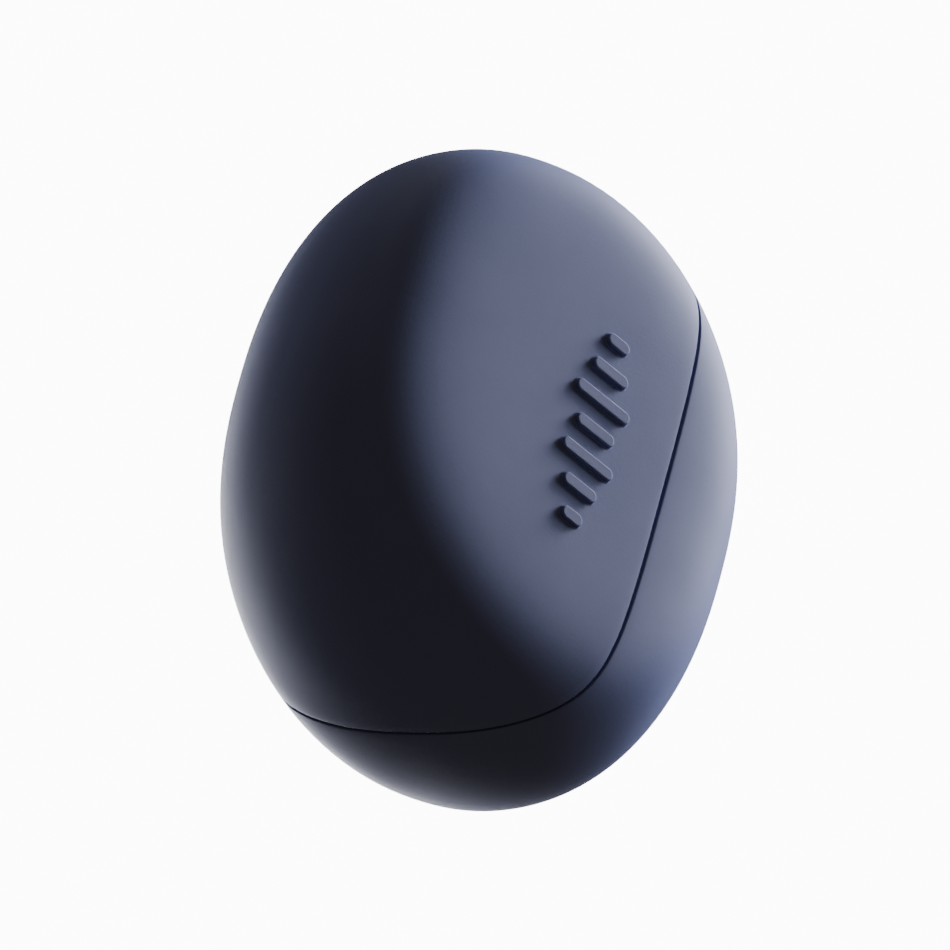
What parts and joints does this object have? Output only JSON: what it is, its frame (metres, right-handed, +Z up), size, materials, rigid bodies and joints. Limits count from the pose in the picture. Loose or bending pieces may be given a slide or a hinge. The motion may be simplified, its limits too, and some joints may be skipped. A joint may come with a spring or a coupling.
{
  "type": "wireless earbuds case",
  "caption": "Pebble-shaped charging case with flat front and back, a lid that hinges at the back, two earbud wells with sprung contacts, and a rear charging port.",
  "frame": {"origin": "on the ground plane, under the middle of the case, which stands on the small flat foot of its base", "axes": "+X along the width, +Y from the front face to the hinge at the back, +Z up; lid closed"},
  "size_m": [0.062, 0.0324, 0.057],
  "materials": {
    "soft_touch_slate": "fine-grained soft-touch paint over ABS, slate blue",
    "inner_plastic": "satin moulded ABS, darker slate",
    "button_plastic": "satin moulded ABS",
    "zinc": "die-cast zinc, dark e-coat",
    "steel": "bright steel",
    "nickel": "nickel plate",
    "gold": "gold plate",
    "board": "green solder mask on FR4",
    "chip": "moulded epoxy",
    "ferrite": "ferrite",
    "nylon": "natural nylon",
    "pouch_foil": "laminated foil",
    "foam": "closed-cell foam",
    "red_wire": "PVC sleeve",
    "black_wire": "PVC sleeve",
    "polyimide": "polyimide film",
    "black_plastic": "moulded PBT",
    "clear_plastic": "frosted acrylic",
    "tpe": "soft TPE"
  },
  "bodies": {
    "base": {"base_magnet_left": "nickel", "base_magnet_right": "nickel", "base_shell": "soft_touch_slate", "battery_cell": "pouch_foil", "battery_lead_negative": "black_wire", "battery_lead_positive": "red_wire", "battery_pad": "foam", "battery_socket": "nylon", "bud_magnet_left": "nickel", "bud_magnet_right": "nickel", "charge_controller": "chip", "contact_block_left": "black_plastic", "contact_block_right": "black_plastic", "cradle": "inner_plastic", "deck_board": "board", "deck_bumper_left": "tpe", "deck_bumper_right": "tpe", "deck_screw_front": "steel", "deck_screw_rear": "steel", "flex_cable": "polyimide", "hinge_pin": "steel", "light_pipe": "clear_plastic", "main_board": "board", "power_inductor": "ferrite", "status_led": "clear_plastic", "tact_switch": "nickel", "usb_socket": "nickel", "usb_tongue": "black_plastic"},
    "lid": {"lid_shell": "soft_touch_slate", "hinge_arm": "zinc", "hinge_screw_left": "steel", "hinge_screw_right": "steel", "lid_lining": "inner_plastic", "lid_magnet_left": "nickel", "lid_magnet_right": "nickel"},
    "button": {"pairing_button": "button_plastic"},
    "contact_pin_left_inner": {"contact_pin_left_inner": "gold"},
    "contact_pin_left_outer": {"contact_pin_left_outer": "gold"},
    "contact_pin_right_inner": {"contact_pin_right_inner": "gold"},
    "contact_pin_right_outer": {"contact_pin_right_outer": "gold"}
  },
  "joints": [
    {"name": "lid_hinge", "type": "hinge", "parent": "base", "child": "lid", "pos_m": [0, 0.0146, 0.03493], "axis": [-1, 0, 0], "range_deg": [0, 95]},
    {"name": "button_press", "type": "slide", "parent": "base", "child": "button", "axis": [0, 0.5, -0.866], "range_m": [0, 0.0003], "stiffness_N_per_m": 1000, "springref_m": -0.0003},
    {"name": "contact_travel_left_inner", "type": "slide", "parent": "base", "child": "contact_pin_left_inner", "axis": [0, 0, -1], "range_m": [0, 0.0007], "stiffness_N_per_m": 400, "springref_m": -0.0003},
    {"name": "contact_travel_left_outer", "type": "slide", "parent": "base", "child": "contact_pin_left_outer", "axis": [0, 0, -1], "range_m": [0, 0.0007], "stiffness_N_per_m": 400, "springref_m": -0.0003},
    {"name": "contact_travel_right_inner", "type": "slide", "parent": "base", "child": "contact_pin_right_inner", "axis": [0, 0, -1], "range_m": [0, 0.0007], "stiffness_N_per_m": 400, "springref_m": -0.0003},
    {"name": "contact_travel_right_outer", "type": "slide", "parent": "base", "child": "contact_pin_right_outer", "axis": [0, 0, -1], "range_m": [0, 0.0007], "stiffness_N_per_m": 400, "springref_m": -0.0003}
  ]
}
